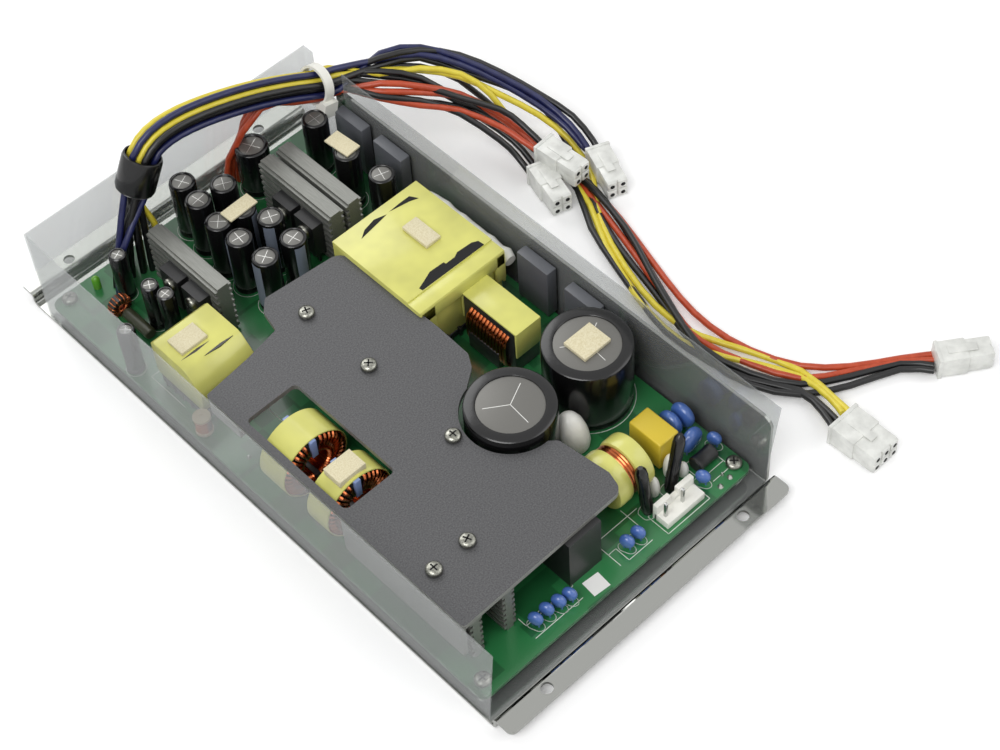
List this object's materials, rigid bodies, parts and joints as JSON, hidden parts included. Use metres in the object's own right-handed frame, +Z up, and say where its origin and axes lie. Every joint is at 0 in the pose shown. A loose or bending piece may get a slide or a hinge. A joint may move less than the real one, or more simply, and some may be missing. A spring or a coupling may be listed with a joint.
{
  "type": "open frame power supply",
  "caption": "Long sheet-metal pan holding a power supply board with chokes, capacitors and heatsinks, a clear insulating film round it and a loose output wiring harness.",
  "frame": {"origin": "middle of the pan's underside", "axes": "+Z up from the surface the pan stands on, +X towards the tall side wall, +Y towards the end where the harness leaves"},
  "size_m": [0.2188, 0.2675, 0.0641],
  "materials": {
    "bright_steel": "bright zinc-plated sheet steel",
    "clear_film": "clear polyester film",
    "solder_mask": "green solder mask on glass fibre board",
    "grey_aluminium": "bead blasted grey aluminium",
    "black_epoxy": "moulded black epoxy",
    "black_ferrite": "sintered black ferrite",
    "yellow_tape": "yellow polyester tape",
    "black_sleeve": "black shrink sleeve",
    "yellow_case": "moulded yellow case",
    "grey_case": "moulded grey case",
    "blue_epoxy": "dipped blue epoxy",
    "white_nylon": "white nylon",
    "green_lens": "green epoxy lens",
    "cream_foam": "cream foam",
    "white_silicone": "white silicone",
    "clear_nylon": "natural nylon",
    "black_insulation": "black wire insulation",
    "red_insulation": "red wire insulation",
    "yellow_insulation": "yellow wire insulation",
    "navy_insulation": "navy wire insulation"
  },
  "bodies": {
    "root": {"chassis": "bright_steel", "insulating_film": "clear_film", "circuit_board": "solder_mask", "board_spacers": "bright_steel", "board_screws": "bright_steel", "heat_spreader": "grey_aluminium", "spreader_posts": "bright_steel", "spreader_screws": "bright_steel", "heatsink_left": "grey_aluminium", "heatsink_mid_a": "grey_aluminium", "heatsink_mid_b": "grey_aluminium", "heatsinks_front": "grey_aluminium", "power_devices": "black_epoxy", "device_screws": "bright_steel", "main_transformer_core": "black_ferrite", "main_transformer_winding": "yellow_tape", "output_inductor_core": "black_ferrite", "output_inductor_winding": "yellow_tape", "standby_transformer": "yellow_tape", "toroid_choke_a": "yellow_tape", "toroid_choke_b": "yellow_tape", "common_mode_choke": "yellow_tape", "boxed_inductor": "black_epoxy", "bulk_capacitors": "black_sleeve", "output_capacitors": "black_sleeve", "large_output_capacitors": "black_sleeve", "x_capacitor": "yellow_case", "box_capacitors": "grey_case", "varistors": "blue_epoxy", "disc_capacitors": "blue_epoxy", "thermistors": "black_sleeve", "fuse": "black_sleeve", "mains_header": "white_nylon", "mains_header_pins": "bright_steel", "status_led": "green_lens", "foam_pads": "cream_foam", "silicone_beads": "white_silicone", "ferrite_sleeve": "black_ferrite", "cable_tie": "white_nylon", "plug_1": "clear_nylon", "plug_2": "clear_nylon", "plug_3": "clear_nylon", "plug_4": "clear_nylon", "plug_5": "clear_nylon", "wire_black_1": "black_insulation", "wire_black_2": "black_insulation", "wire_black_3": "black_insulation", "wire_black_5": "black_insulation", "wire_black_6": "black_insulation", "wire_black_7": "black_insulation", "wire_black_8": "black_insulation", "wire_black_9": "black_insulation", "wire_red_1": "red_insulation", "wire_red_2": "red_insulation", "wire_red_3": "red_insulation", "wire_yellow_1": "yellow_insulation", "wire_yellow_2": "yellow_insulation", "wire_navy_1": "navy_insulation", "wire_navy_2": "navy_insulation"}
  },
  "joints": []
}
